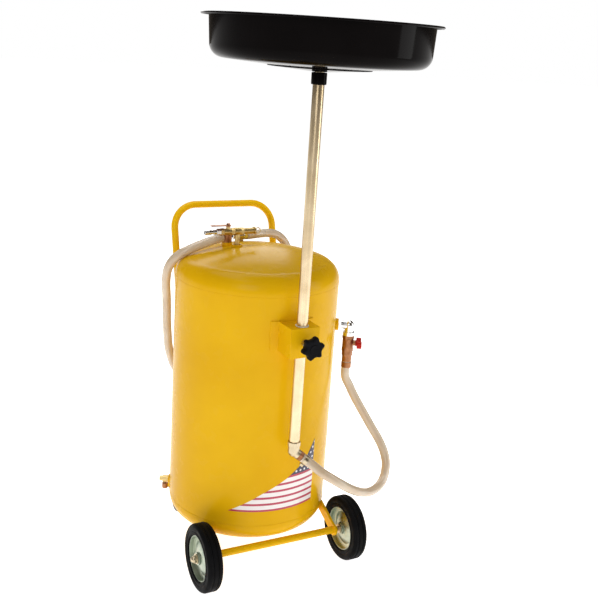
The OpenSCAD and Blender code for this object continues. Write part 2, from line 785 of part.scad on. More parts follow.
// Safety relief valve with its pull ring
module relief_valve() {
    color("khaki") at_tank() {
        difference() {
            union() {
                at_air(-40) cylinder(r = 9, h = 7, $fn = 6);
                at_air(-33) cylinder(r = 7.5, h = 27);
                at_air(-6) cylinder(r = 9.5, h = 4);
            }
            at_air(-41) cylinder(r = 3.5, h = 30);
        }
        translate([6, air_xy[1], air_z]) rotate([90, 0, 0]) rotate_extrude() translate([7, 0]) circle(1.1);
    }
}

module dip_tube() {
    color("silver") at_tank() translate([dip_xy[0], dip_xy[1], 84]) tube(8, 6.5, 702);
}

module hose_tail() {
    color("sienna") at_tank() difference() {
        union() {
            translate([dip_xy[0], dip_xy[1], 786]) cylinder(r = 12, h = 25);
            translate([dip_xy[0], dip_xy[1], 811]) cylinder(r = 10, h = 3, $fn = 6);
            translate([dip_xy[0], dip_xy[1], tail_z]) towards(tail_turn, tail_drop) {
                cylinder(r = 9, h = 14);
                translate([0, 0, 14]) barb_stem(26, 5);
            }
        }
        translate([dip_xy[0], dip_xy[1], 785]) cylinder(r = 5, h = tail_z - 785);
        translate([dip_xy[0], dip_xy[1], tail_z]) sphere(r = 5);
        translate([dip_xy[0], dip_xy[1], tail_z]) towards(tail_turn, tail_drop) cylinder(r = 5, h = 45);
    }
}

module discharge_hose() { color("wheat") at_tank() hose(discharge_route); }

spout_y = 105;
spout_z = 789;

// Outlet at the free end of the discharge hose, parked in its clip
module discharge_spout() {
    color("silver") at_tank() translate([12, spout_y, spout_z]) rotate([0, -90, 0]) difference() {
        union() {
            translate([0, 0, -22]) cylinder(r = stem_r, h = 22);
            cylinder(r = 11, h = 8, $fn = 6);
            translate([0, 0, 8]) cylinder(r = 9, h = 14);
            translate([0, 0, 22]) cylinder(r = 8, h = 16);
        }
        translate([0, 0, -23]) cylinder(r = 5, h = 65);
    }
}

module spout_clip() {
    color("silver") at_tank() difference() {
        union() {
            translate([-8, spout_y, spout_z]) rotate([0, 90, 0]) cylinder(r = 10.4, h = 10);
            translate([-8, spout_y - 6, 768]) cube([10, 12, 18]);
        }
        tank_solid();
        translate([-10, spout_y, spout_z]) rotate([0, 90, 0]) cylinder(r = 9, h = 14);
        translate([-10, spout_y - 6, spout_z + 4]) cube([14, 12, 8]);
    }
}

module cock_body() {
    color("tan") at_tank() difference() {
        union() {
            outward(cock_az, cock_z, tank_r + 6) cylinder(r = 10, h = 6, $fn = 6);
            outward(cock_az, cock_z, tank_r + 12) cylinder(r = 8.5, h = 9);
            outward(cock_az, cock_z, tank_r + 21) cylinder(r = 6.5, h = 8);
            rotate([0, 0, cock_az]) translate([cock_rho, 0, cock_z - 9]) cylinder(r = 5, h = 9);
        }
        outward(cock_az, cock_z, tank_r + 5) cylinder(r = 3.5, h = 26);
        rotate([0, 0, cock_az]) translate([cock_rho, 0, cock_z - 10]) cylinder(r = 2 + fit, h = 8);
    }
}

// Knurled knob under the drain cock
module cock_knob() {
    color("saddlebrown") at_tank() rotate([0, 0, cock_az]) translate([cock_rho, 0, 0]) {
        translate([0, 0, cock_z - 12]) cylinder(r = 2, h = 9);
        translate([0, 0, cock_z - 26]) cylinder(r = 7.5, h = 14);
    }
}

// Striped sticker on the front of the tank
module decal() {
    color("white") at_tank() intersection() {
        translate([0, 0, 150]) tube(tank_r + 0.4, tank_r, 220);
        translate([0, -100, 0]) rotate([90, 0, 0]) linear_extrude(150)
            polygon([[-122, 174], [93, 174], [93, 339], [72, 306], [48, 281], [10, 255], [-50, 222]]);
    }
}

tank_shell();
tank_bosses();
rear_handle();
handle_gussets();
axle_struts();
axle_tube();
axle_rod();
axle_fasteners();
left_tyre();
left_rim();
left_hub();
right_tyre();
right_rim();
right_hub();
caster_brackets();
caster_plates();
caster_bolts();
left_caster_fork();
left_caster_pin();
left_caster_wheel();
right_caster_fork();
right_caster_pin();
right_caster_wheel();
mast_bracket();
mast_sleeve();
guide_bushes();
clamp_nut();
clamp_shoe();
clamp_screw();
clamp_knob();
mast_tube();
mast_pin();
mast_coupling();
drain_pan();
pan_plate();
pan_spigot();
pan_strainer();
mast_elbow();
mast_barb();
mast_clamp();
drain_hose();
inlet_elbow();
inlet_valve_body();
inlet_ball();
inlet_handle();
inlet_barb();
inlet_clamp();
air_tee();
air_valve_body();
air_lever();
air_plug();
relief_valve();
dip_tube();
hose_tail();
discharge_hose();
discharge_spout();
spout_clip();
cock_body();
cock_knob();
decal();
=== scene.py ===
"""Looks for the wheeled waste-oil drainer: a camera, the two hoses, detailed pieces in place of plain CAD
nodes, and a procedural material for every surface. Metres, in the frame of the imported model."""
import json
from math import atan2, cos, degrees, pi, radians, sin, sqrt

import bmesh
import bpy
from mathutils import Matrix, Quaternion, Vector
from mathutils.geometry import interpolate_bezier


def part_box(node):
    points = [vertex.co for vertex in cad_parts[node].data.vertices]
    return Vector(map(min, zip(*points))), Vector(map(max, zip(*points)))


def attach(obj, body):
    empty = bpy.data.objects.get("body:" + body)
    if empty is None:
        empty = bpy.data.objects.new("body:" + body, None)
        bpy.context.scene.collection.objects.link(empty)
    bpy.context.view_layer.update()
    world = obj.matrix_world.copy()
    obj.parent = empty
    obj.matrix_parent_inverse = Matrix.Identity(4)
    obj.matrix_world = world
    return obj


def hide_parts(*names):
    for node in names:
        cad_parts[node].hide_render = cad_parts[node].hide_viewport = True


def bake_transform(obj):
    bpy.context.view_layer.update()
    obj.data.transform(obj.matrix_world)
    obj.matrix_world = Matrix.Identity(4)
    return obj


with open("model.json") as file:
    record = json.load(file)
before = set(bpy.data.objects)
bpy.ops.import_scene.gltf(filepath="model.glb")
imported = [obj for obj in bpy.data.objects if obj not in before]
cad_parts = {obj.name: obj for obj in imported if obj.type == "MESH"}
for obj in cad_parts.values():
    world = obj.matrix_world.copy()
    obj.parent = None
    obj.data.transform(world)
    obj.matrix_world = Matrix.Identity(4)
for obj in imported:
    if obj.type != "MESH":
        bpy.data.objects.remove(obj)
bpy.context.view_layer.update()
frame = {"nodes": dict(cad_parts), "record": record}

# ---------- places taken from the frame ----------


def middle(node):
    low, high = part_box(node)
    return (low + high) / 2


def radius(node, axis=0):
    """Half the size of a round node across one axis."""
    low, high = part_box(node)
    return (high[axis] - low[axis]) / 2


tank_at = Vector((middle("tank_shell").x, middle("tank_shell").y, 0))
tank_r = radius("tank_shell")
mast_at = Vector((middle("mast_tube").x, middle("mast_tube").y, 0))
mast_r = radius("mast_tube")


def from_tank(x, y, z):
    """A point given in metres from the foot of the tank's axis."""
    return tank_at + Vector((x, y, z))


def bearing(az, rise=0.0):
    """Unit vector at a bearing from +X round +Z, and a rise above level, in degrees."""
    return Vector((cos(radians(rise)) * cos(radians(az)), cos(radians(rise)) * sin(radians(az)),
                   sin(radians(rise))))


# ---------- camera ----------


def make_camera():
    data = bpy.data.cameras.new("camera")
    data.sensor_fit = "HORIZONTAL"
    data.sensor_width = 36
    data.lens = 55.12
    data.clip_end = 100
    camera = bpy.data.objects.new("camera", data)
    bpy.context.scene.collection.objects.link(camera)
    camera.location = from_tank(-0.944, -1.962, 1.278)
    turn, drop, roll = radians(28.46), radians(15.97), radians(3.85)
    view = Vector((sin(turn) * cos(drop), cos(turn) * cos(drop), -sin(drop)))
    camera.rotation_mode = "QUATERNION"
    camera.rotation_quaternion = view.to_track_quat("-Z", "Y") @ Quaternion((0, 0, 1), roll)
    bpy.context.scene.camera = camera


# ---------- mesh helpers ----------


def to_object(name, bm, smooth=35):
    """Turns a bmesh into an object, shaded smooth except at edges sharper than smooth degrees."""
    bmesh.ops.recalc_face_normals(bm, faces=bm.faces[:])
    mesh = bpy.data.meshes.new(name)
    bm.to_mesh(mesh)
    bm.free()
    mesh.shade_smooth()
    mesh.set_sharp_from_angle(angle=radians(smooth))
    obj = bpy.data.objects.new(name, mesh)
    bpy.context.scene.collection.objects.link(obj)
    return obj


def finish_piece(obj, body, material, nodes=()):
    obj.data.materials.clear()
    obj.data.materials.append(material)
    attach(obj, body)
    if nodes:
        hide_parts(*nodes)
    return obj


def along(direction, place):
    """Matrix that turns local +Z along a direction and moves to a place."""
    return Matrix.Translation(place) @ Vector(direction).to_track_quat("Z", "Y").to_matrix().to_4x4()


def add_lathe(bm, outline, steps=64, matrix=Matrix.Identity(4), closed=True):
    """Turns an outline of (radius, height) points about local Z. A closed outline comes back to its start;
    an open one ends on the axis."""
    rings = []
    for r, z in outline:
        if r < 1e-7:
            rings.append([bm.verts.new(matrix @ Vector((0, 0, z)))])
        else:
            rings.append([bm.verts.new(matrix @ Vector((r * cos(2 * pi * i / steps),
                                                        r * sin(2 * pi * i / steps), z)))
                          for i in range(steps)])
    pairs = list(zip(rings, rings[1:])) + ([(rings[-1], rings[0])] if closed else [])
    for a, b in pairs:
        if len(a) == 1 and len(b) == 1:
            continue
        for i in range(steps):
            j = (i + 1) % steps
            corners = [a[i % len(a)], a[j % len(a)], b[j % len(b)], b[i % len(b)]]
            face = [v for k, v in enumerate(corners) if v not in corners[:k]]
            bm.faces.new(face)


def arc(cx, cz, r, a0, a1, n):
    """Points on an arc from angle a0 to a1, in degrees."""
    angles = [radians(a0 + (a1 - a0) * i / n) for i in range(n + 1)]
    return [(cx + r * cos(a), cz + r * sin(a)) for a in angles]


def rounded(points, r, n=3):
    """Rounds each corner of a closed outline of (radius, height) points."""
    result = []
    for i, p in enumerate(points):
        before, here, after = Vector(points[i - 1]), Vector(p), Vector(points[(i + 1) % len(points)])
        a, b = (before - here), (after - here)
        reach = min(r, a.length * 0.45, b.length * 0.45)
        if here.x < 1e-7 or reach < 1e-7:
            result.append(tuple(here))
            continue
        start, end = here + a.normalized() * reach, here + b.normalized() * reach
        for k in range(n + 1):
            t = k / n
            result.append(tuple((1 - t) ** 2 * start + 2 * t * (1 - t) * here + t * t * end))
    return result


def smooth_path(points, step=0.006):
    """A smooth curve through the points, as points about a step apart."""
    points = [Vector(p) for p in points]
    ends = [2 * points[0] - points[1]] + points + [2 * points[-1] - points[-2]]
    path = [points[0]]
    for a, b, c, d in zip(ends, ends[1:], ends[2:], ends[3:]):
        count = max(2, round((c - b).length / step))
        path += interpolate_bezier(b, b + (c - a) / 6, c - (d - b) / 6, c, count + 1)[1:]
    return path


def add_tube(bm, path, rings, sides=32):
    """Sweeps two circles along a path without twist. rings are the wall's radii, outside then inside."""
    n = len(path)
    tangents = [(path[min(i + 1, n - 1)] - path[max(i - 1, 0)]).normalized() for i in range(n)]
    side = tangents[0].cross(Vector((0, 0, 1)) if abs(tangents[0].z) < 0.9 else Vector((0, 1, 0)))
    walls = [[] for _ in rings]
    for place, t in zip(path, tangents):
        side = (side - side.dot(t) * t).normalized()
        up = t.cross(side)
        for wall, r in zip(walls, rings):
            turns = [2 * pi * j / sides for j in range(sides)]
            wall.append([bm.verts.new(place + r * (cos(a) * side + sin(a) * up)) for a in turns])
    for wall in walls:
        for a, b in zip(wall, wall[1:]):
            for j in range(sides):
                k = (j + 1) % sides
                bm.faces.new([a[j], a[k], b[k], b[j]])
    for end in (0, -1):
        for j in range(sides):
            k = (j + 1) % sides
            bm.faces.new([walls[0][end][j], walls[0][end][k], walls[1][end][k], walls[1][end][j]])


def apply_modifiers(obj):
    bpy.context.view_layer.update()
    result = bpy.data.meshes.new_from_object(obj.evaluated_get(bpy.context.evaluated_depsgraph_get()))
    obj.modifiers.clear()
    old, obj.data = obj.data, result
    bpy.data.meshes.remove(old)


def softened(node, width=0.0006, segments=2):
    """A copy of a CAD node with its hard edges rounded over, as castings and cut plate have."""
    bm = bmesh.new()
    bm.from_mesh(frame["nodes"][node].data)
    bmesh.ops.remove_doubles(bm, verts=bm.verts[:], dist=2e-6)
    bmesh.ops.dissolve_limit(bm, angle_limit=radians(1), verts=bm.verts[:], edges=bm.edges[:])
    obj = to_object(node + "_finished", bm)
    bevel = obj.modifiers.new("edges", "BEVEL")
    bevel.width = width
    bevel.segments = segments
    bevel.limit_method = "ANGLE"
    bevel.angle_limit = radians(38)
    bevel.use_clamp_overlap = True
    normals = obj.modifiers.new("normals", "WEIGHTED_NORMAL")
    normals.keep_sharp = True
    apply_modifiers(obj)
    return obj


# ---------- materials ----------


class Shader:
    """A node material, built by short calls."""

    def __init__(self, name):
        self.material = bpy.data.materials.new(name)
        self.material.use_nodes = True
        self.tree = self.material.node_tree
        self.surface = self.tree.nodes["Principled BSDF"]
        self.place = self.tree.nodes.new("ShaderNodeTexCoord").outputs["Object"]

    def set(self, **values):
        for key, value in values.items():
            socket = self.surface.inputs[key.replace("_", " ")]
            socket.default_value = (*value, 1) if isinstance(value, tuple) and len(value) == 3 else value
        return self

    def link(self, source, target):
        self.tree.links.new(source, target)

    def stretched(self, scale):
        mapping = self.tree.nodes.new("ShaderNodeMapping")
        mapping.inputs["Scale"].default_value = scale
        self.link(self.place, mapping.inputs["Vector"])
        return mapping.outputs["Vector"]

    def noise(self, scale, detail=3.0, roughness=0.55, stretch=None, distortion=0.0):
        node = self.tree.nodes.new("ShaderNodeTexNoise")
        node.inputs["Scale"].default_value = scale
        node.inputs["Detail"].default_value = detail
        node.inputs["Roughness"].default_value = roughness
        node.inputs["Distortion"].default_value = distortion
        self.link(self.stretched(stretch) if stretch else self.place, node.inputs["Vector"])
        return node.outputs["Fac"]

    def ramp(self, source, stops):
        node = self.tree.nodes.new("ShaderNodeValToRGB")
        elements = node.color_ramp.elements
        while len(elements) < len(stops):
            elements.new(0.5)
        for element, (place, colour) in zip(elements, stops):
            element.position = place
            element.color = (*colour, 1) if isinstance(colour, tuple) else (colour, colour, colour, 1)
        self.link(source, node.inputs["Fac"])
        return node.outputs["Color"]

    def math(self, kind, a, b=None):
        node = self.tree.nodes.new("ShaderNodeMath")
        node.operation = kind
        for socket, value in zip(node.inputs, (a, b)):
            if isinstance(value, (int, float)):
                socket.default_value = value
            elif value is not None:
                self.link(value, socket)
        return node.outputs["Value"]

    def mix(self, factor, a, b, kind="MIX"):
        node = self.tree.nodes.new("ShaderNodeMix")
        node.data_type = "RGBA"
        node.blend_type = kind
        for socket, value in zip((node.inputs[0], node.inputs[6], node.inputs[7]), (factor, a, b)):
            if isinstance(value, tuple):
                socket.default_value = (*value, 1)
            elif isinstance(value, (int, float)):
                socket.default_value = value
            else:
                self.link(value, socket)
        return node.outputs[2]

    def axes(self):
        node = self.tree.nodes.new("ShaderNodeSeparateXYZ")
        self.link(self.place, node.inputs[0])
        return node.outputs

    def colour(self, source):
        self.link(source, self.surface.inputs["Base Color"])
        return self

    def roughness(self, source, low, high):
        self.link(self.ramp(source, [(0.3, low), (0.7, high)]), self.surface.inputs["Roughness"])
        return self

    def bump(self, source, height, strength=1.0):
        node = self.tree.nodes.new("ShaderNodeBump")
        node.inputs["Distance"].default_value = height
        node.inputs["Strength"].default_value = strength
        self.link(source, node.inputs["Height"])
        self.link(node.outputs["Normal"], self.surface.inputs["Normal"])
        return self


def enamel(name, dark, light, peel=0.00012, coat=0.04, shine=0.07, rough=(0.2, 0.3)):
    """Gloss enamel over steel: slow changes of depth, orange peel and a clear top."""
    s = Shader(name).set(Coat_Weight=coat, Coat_Roughness=0.1, Specular_IOR_Level=shine)
    s.colour(s.ramp(s.noise(5, 4), [(0.35, dark), (0.68, light)]))
    s.roughness(s.noise(24, 3), *rough)
    return s.bump(s.noise(170, 2), peel, 0.35).material


def plated(name, dark, light, rough=(0.24, 0.42), streak=(1, 1, 0.04), grain=260):
    """Plated or drawn steel: fine lines along the part and a cloudy passivated tint."""
    s = Shader(name).set(Metallic=1.0)
    s.colour(s.ramp(s.noise(14, 5, distortion=0.6), [(0.34, dark), (0.66, light)]))
    lines = s.noise(grain, 3, stretch=streak)
    s.roughness(lines, *rough)
    return s.bump(lines, 0.00004, 0.35).material


def cast(name, dark, light, rough=(0.28, 0.5)):
    """Machined or cast brass and bronze, a little tarnished in the hollows."""
    s = Shader(name).set(Metallic=1.0)
    s.colour(s.ramp(s.noise(60, 5), [(0.32, dark), (0.66, light)]))
    grain = s.noise(420, 3)
    s.roughness(grain, *rough)
    return s.bump(grain, 0.00005, 0.5).material


def moulded(name, dark, light, rough=(0.42, 0.6), scale=900, height=0.00008):
    """Moulded plastic or rubber with a fine texture and a breath of dust."""
    s = Shader(name).set(Specular_IOR_Level=0.05)
    s.colour(s.ramp(s.noise(18, 5), [(0.3, dark), (0.75, light)]))
    s.roughness(s.noise(40, 3), *rough)
    return s.bump(s.noise(scale, 2), height, 0.6).material


def clear_hose(name):
    """Clear PVC, yellowed, with an oil film that shows through its wall."""
    s = Shader(name).set(Transmission_Weight=0.35, IOR=1.5, Specular_IOR_Level=0.6, Coat_Weight=0.3)
    s.colour(s.ramp(s.noise(11, 4), [(0.3, (0.80, 0.62, 0.42)), (0.7, (0.95, 0.84, 0.68))]))
    s.roughness(s.noise(30, 3), 0.14, 0.24)
    return s.bump(s.noise(160, 2), 0.0001, 0.3).material


def striped_sticker(name, low, first_navy):
    """Printed vinyl: red and white bands round the tank, and a navy point with a grid of pale dots."""
    s = Shader(name).set(Coat_Weight=0.4, Coat_Roughness=0.1)
    x, _, z = s.axes()
    pitch = 0.0165
    phase = s.math("FRACT", s.math("DIVIDE", s.math("SUBTRACT", z, low - 0.001), pitch))
    fade = s.noise(30, 4)
    red = s.mix(fade, (0.42, 0.012, 0.05), (0.52, 0.02, 0.07))
    white = s.mix(fade, (0.86, 0.80, 0.80), (0.95, 0.91, 0.90))
    bands = s.mix(s.math("LESS_THAN", phase, 0.34), white, red)
    grid = 0.0125
    row = s.math("FLOOR", s.math("DIVIDE", z, grid))
    shift = s.math("MULTIPLY", s.math("MODULO", row, 2.0), 0.5)
    across = s.math("SUBTRACT", s.math("FRACT", s.math("ADD", s.math("DIVIDE", x, grid), shift)), 0.5)
    upward = s.math("SUBTRACT", s.math("FRACT", s.math("DIVIDE", z, grid)), 0.5)
    off = s.math("ADD", s.math("MULTIPLY", across, across), s.math("MULTIPLY", upward, upward))
    navy = s.mix(s.math("LESS_THAN", off, 0.05), (0.012, 0.014, 0.06), (0.8, 0.8, 0.84))
    s.colour(s.mix(s.math("GREATER_THAN", z, first_navy), bands, navy))
    s.roughness(s.noise(60, 2), 0.3, 0.4)
    return s.bump(s.noise(120, 2), 0.00003, 0.3).material


LOOKS = {
    "yellow_paint": enamel("yellow_enamel", (0.76, 0.42, 0.003), (0.84, 0.49, 0.005)),
    "black_enamel": enamel("black_enamel", (0.0015, 0.001, 0.001), (0.004, 0.003, 0.003),
                           peel=0.00003, coat=0.0, shine=0.03, rough=(0.07, 0.12)),
    "zinc_steel": plated("zinc_plate", (0.50, 0.42, 0.28), (0.66, 0.56, 0.39)),
    "bright_steel": plated("bright_plate", (0.70, 0.69, 0.67), (0.80, 0.80, 0.80), (0.12, 0.26)),
    "brass": cast("machined_brass", (0.52, 0.36, 0.13), (0.72, 0.56, 0.26)),
    "bronze": cast("dark_bronze", (0.26, 0.11, 0.05), (0.44, 0.21, 0.10)),
    "black_plastic": moulded("black_plastic", (0.003, 0.003, 0.004), (0.009, 0.009, 0.011)),
    "nylon": moulded("white_nylon", (0.76, 0.72, 0.60), (0.88, 0.85, 0.76)),
    "tyre_rubber": moulded("tyre_rubber", (0.0025, 0.0025, 0.003), (0.008, 0.008, 0.009),
                           rough=(0.45, 0.7), scale=500, height=0.0002),
    "caster_tread": moulded("caster_rubber", (0.016, 0.016, 0.016), (0.04, 0.039, 0.037), (0.5, 0.7)),
    "clear_hose": clear_hose("clear_pvc"),
    "red_paint": enamel("red_enamel", (0.36, 0.012, 0.010), (0.50, 0.022, 0.014)),
    "sticker": striped_sticker("printed_vinyl", 0.175, 0.262),
}

# ---------- hoses ----------

HOSE_D = 0.022
HOSE_BORE = 0.016


def drain_route():
    """The drain hose's route in part.scad, in metres from the tank's foot."""
    turn = bearing(-30, -35)
    start = Vector((0, -0.243, 0.350)) + 0.026 * turn
    valve = 0.234 * bearing(-28.5)
    by_hand = [(0.059, -0.283, 0.302), (0.081, -0.292, 0.287), (0.105, -0.296, 0.271), (0.133, -0.292, 0.252),
               (0.164, -0.284, 0.234), (0.198, -0.270, 0.219), (0.231, -0.254, 0.213), (0.259, -0.238, 0.218),
               (0.279, -0.222, 0.233), (0.290, -0.206, 0.256), (0.290, -0.190, 0.281), (0.282, -0.174, 0.307),
               (0.269, -0.160, 0.333), (0.256, -0.146, 0.360), (0.243, -0.134, 0.386), (0.230, -0.124, 0.412),
               (0.218, -0.117, 0.438)]
    return [start, start + 0.028 * turn, *by_hand, (valve.x, valve.y, 0.466), (valve.x, valve.y, 0.5055)]


def discharge_route():
    """The discharge hose's route in part.scad, in metres from the tank's foot."""
    turn = bearing(188, -12)
    start = Vector((-0.062, 0.056, 0.801)) + 0.014 * turn
    by_hand = [(-0.130, 0.050, 0.784), (-0.157, 0.053, 0.773), (-0.179, 0.059, 0.761), (-0.195, 0.068, 0.744),
               (-0.203, 0.079, 0.722), (-0.203, 0.091, 0.697), (-0.199, 0.103, 0.670), (-0.193, 0.114, 0.640),
               (-0.189, 0.121, 0.606), (-0.185, 0.128, 0.570), (-0.180, 0.135, 0.534), (-0.173, 0.144, 0.498),
               (-0.161, 0.156, 0.462), (-0.144, 0.171, 0.429), (-0.120, 0.188, 0.400), (-0.090, 0.204, 0.378),
               (-0.054, 0.215, 0.364), (-0.016, 0.220, 0.358), (0.024, 0.219, 0.359), (0.062, 0.213, 0.367),
               (0.098, 0.200, 0.382), (0.128, 0.182, 0.406), (0.150, 0.165, 0.438), (0.164, 0.153, 0.474),
               (0.172, 0.146, 0.514), (0.176, 0.143, 0.556), (0.177, 0.143, 0.600), (0.175, 0.145, 0.640),
               (0.172, 0.148, 0.676), (0.166, 0.151, 0.710), (0.154, 0.151, 0.741), (0.134, 0.145, 0.766),
               (0.109, 0.135, 0.781), (0.082, 0.123, 0.788), (0.056, 0.113, 0.790), (0.034, 0.107, 0.790),
               (0.012, 0.105, 0.789)]
    return [start, start + 0.028 * turn, *by_hand]


def make_hose(name, route, node):
    path = [from_tank(*p) for p in smooth_path(route)]
    bm = bmesh.new()
    add_tube(bm, path, (HOSE_D / 2, HOSE_BORE / 2), sides=32)
    hose = to_object(name, bm)
    hose.data.materials.append(LOOKS["clear_hose"])
    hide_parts(node)
    return hose, path


make_camera()
drain_hose, drain_path = make_hose("drain_line", drain_route(), "drain_hose")
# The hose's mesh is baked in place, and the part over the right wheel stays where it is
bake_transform(drain_hose)
discharge_hose, discharge_path = make_hose("discharge_line", discharge_route(), "discharge_hose")
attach(discharge_hose, "root")

# ---------- studio ----------


def area_light(name, place, target, size, power, colour=(1, 1, 1), spread=180):
    data = bpy.data.lights.new(name, "AREA")
    data.shape = "RECTANGLE"
    data.size, data.size_y = size
    data.energy = power
    data.color = colour
    data.spread = radians(spread)
    light = bpy.data.objects.new(name, data)
    light.location = place
    light.rotation_mode = "QUATERNION"
    light.rotation_quaternion = (Vector(target) - Vector(place)).to_track_quat("-Z", "Y")
    bpy.context.scene.collection.objects.link(light)


def make_studio():
    bm = bmesh.new()
    bmesh.ops.create_grid(bm, x_segments=8, y_segments=8, size=30)
    floor = to_object("studio_floor", bm)
    s = Shader("studio_paper").set(Roughness=0.85, Specular_IOR_Level=0.2,
                                   Emission_Color=(1.0, 1.0, 1.0), Emission_Strength=0.95)
    s.colour(s.ramp(s.noise(3, 3), [(0.3, (0.90, 0.90, 0.90)), (0.7, (0.92, 0.92, 0.92))]))
    floor.data.materials.append(s.material)
    world = bpy.data.worlds.new("studio_air")
    bpy.context.scene.world = world
    world.use_nodes = True
    tree = world.node_tree
    seen = tree.nodes["Background"]
    seen.inputs["Color"].default_value = (1, 1, 1, 1)
    seen.inputs["Strength"].default_value = 1.0
    lighting = tree.nodes.new("ShaderNodeBackground")
    lighting.inputs["Color"].default_value = (0.10, 0.085, 0.07, 1)
    lighting.inputs["Strength"].default_value = 1.0
    choose = tree.nodes.new("ShaderNodeMixShader")
    tree.links.new(tree.nodes.new("ShaderNodeLightPath").outputs["Is Camera Ray"], choose.inputs[0])
    tree.links.new(lighting.outputs[0], choose.inputs[1])
    tree.links.new(seen.outputs[0], choose.inputs[2])
    tree.links.new(choose.outputs[0], tree.nodes["World Output"].inputs["Surface"])
    target = from_tank(0, 0, 0.6)
    area_light("key", (-2.2, -2.6, 2.6), target, (1.6, 2.2), 37)
    area_light("fill", (2.8, -1.6, 1.6), target, (1.2, 2.4), 26)
    area_light("top", (0, 0.4, 4.2), target, (3.4, 3.4), 100)
    area_light("back", (0.6, 3.0, 2.2), target, (2.4, 1.6), 30)
    bpy.context.scene.view_settings.view_transform = "Standard"


make_studio()

# ---------- pieces ----------

SLOT_OF = {entry["node"]: entry["material_slot"] for entry in frame["record"]["subparts"]}
BODIES = frame["record"]["behaviour"]["bodies"]
BODY_OF = {node: body for body, nodes in BODIES.items() for node in nodes}


RIM_ZINC = plated("rim_zinc", (0.34, 0.40, 0.33), (0.52, 0.56, 0.46), (0.28, 0.45), (1, 1, 1), 90)
MAST_STEEL = plated("drawn_mast_steel", (0.62, 0.48, 0.29), (0.80, 0.65, 0.43), (0.22, 0.38))
# Zinc-plated pieces whose finish differs from the rest of their slot
OWN_LOOK = {"left_rim": RIM_ZINC, "right_rim": RIM_ZINC, "left_hub": RIM_ZINC, "right_hub": RIM_ZINC,
            "mast_tube": MAST_STEEL}


def stand_for(obj, node):
    """Gives a piece the body of the CAD node that it replaces, and its material."""
    look = OWN_LOOK.get(node, LOOKS[SLOT_OF[node]])
    return finish_piece(obj, BODY_OF[node], look, (node,))


def at(place):
    return Matrix.Translation(place)


# Heights where the tank's wall meets its heads
LOWER_LINE = 0.132
UPPER_LINE = 0.715


def tank_side():
    """Half outline of the tank from its foot to its top."""
    knuckle, crown = 0.045, 0.560
    across = tank_r - knuckle
    drop = sqrt((crown - knuckle) ** 2 - across ** 2)
    turn = degrees(atan2(drop, across))
    return (arc(0, LOWER_LINE + drop, crown, -90, -turn, 20) + arc(across, LOWER_LINE, knuckle, -turn, 0, 14)
            + arc(across, UPPER_LINE, knuckle, 0, turn, 14) + arc(0, UPPER_LINE - drop, crown, turn, 90, 20))


def make_tank():
    """The shell, with a low weld bead where each head meets the wall."""
    outer = tank_side()
    lower = outer.index(next(p for p in outer if p[1] >= LOWER_LINE - 1e-6))
    upper = max(i for i, p in enumerate(outer) if p[1] <= UPPER_LINE + 1e-6)
    bead, from_line = 0.0005, 0.004
    low_weld = arc(tank_r, LOWER_LINE + from_line, bead, -90, 90, 6)
    high_weld = arc(tank_r, UPPER_LINE - from_line, bead, -90, 90, 6)
    outer = outer[:lower + 1] + low_weld + high_weld + outer[upper:]
    outer[0] = (0, outer[0][1])
    outer[-1] = (0, outer[-1][1])
    bm = bmesh.new()
    add_lathe(bm, outer, 192, at(tank_at), closed=False)
    stand_for(to_object("tank_body", bm, 50), "tank_shell")


def make_handle():
    """One bent tube: a leg, the top bar and the other leg, in a plane that leans towards the tank."""
    half, bend, leg = 0.138, 0.060, 0.265
    lean = radians(15)
    flat = [(-half, -leg), (-half, -0.2), (-half, -0.12)]
    flat += [(-half + bend + x, -bend + z) for x, z in arc(0, 0, bend, 180, 90, 16)]
    flat += [(-0.04, 0), (0.04, 0)]
    flat += [(half - bend + x, -bend + z) for x, z in arc(0, 0, bend, 90, 0, 16)]
    flat += [(half, -0.12), (half, -0.2), (half, -leg)]
    path = [from_tank(x, 0.232 + z * sin(lean), 0.846 + z * cos(lean)) for x, z in flat]
    bm = bmesh.new()
    add_tube(bm, path, (0.009, 0.007), sides=40)
    stand_for(to_object("push_handle", bm, 50), "rear_handle")


def make_mast():
    low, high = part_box("mast_tube")
    bm = bmesh.new()
    profile = [(mast_r, low.z), (mast_r, high.z), (mast_r - 0.002, high.z), (mast_r - 0.002, low.z)]
    add_lathe(bm, rounded(profile, 0.0007), 96, at(mast_at))
    stand_for(to_object("mast_pole", bm, 50), "mast_tube")


def make_pan():
    """Spun pan: sloping floor, round corner, leaning wall and a flat rim with a rolled edge."""
    rim, top, sheet, corner, lean = 0.2495, 1.317, 0.002, 0.028, 3
    corner_z, fall, bore = 1.257, 4.5, 0.010
    wall_top = rim - 0.016
    tan_lean = sin(radians(lean)) / cos(radians(lean))
    tan_fall = sin(radians(fall)) / cos(radians(fall))
    corner_x = (wall_top - corner * cos(radians(lean))
                - (top - sheet - corner_z + corner * sin(radians(lean))) * tan_lean)

    def side(inset):
        bend = arc(corner_x, corner_z, corner - inset, -90 + fall, -lean, 14)
        start = bend[0]
        floor = [(r, start[1] - (start[0] - r) * tan_fall) for r in (bore, 0.055, 0.10, 0.15)]
        height = top - sheet + inset
        return floor + bend + [(bend[-1][0] + (height - bend[-1][1]) * tan_lean, height)]

    outer, inner = side(0), side(sheet)
    edge = [(rim - 0.0045, top - sheet)]
    edge += arc(rim - 0.0025, top - 0.0025, 0.0025, -120, 90, 12)
    bm = bmesh.new()
    add_lathe(bm, outer + edge + inner[::-1], 160, at(mast_at))
    stand_for(to_object("oil_pan", bm, 40), "drain_pan")


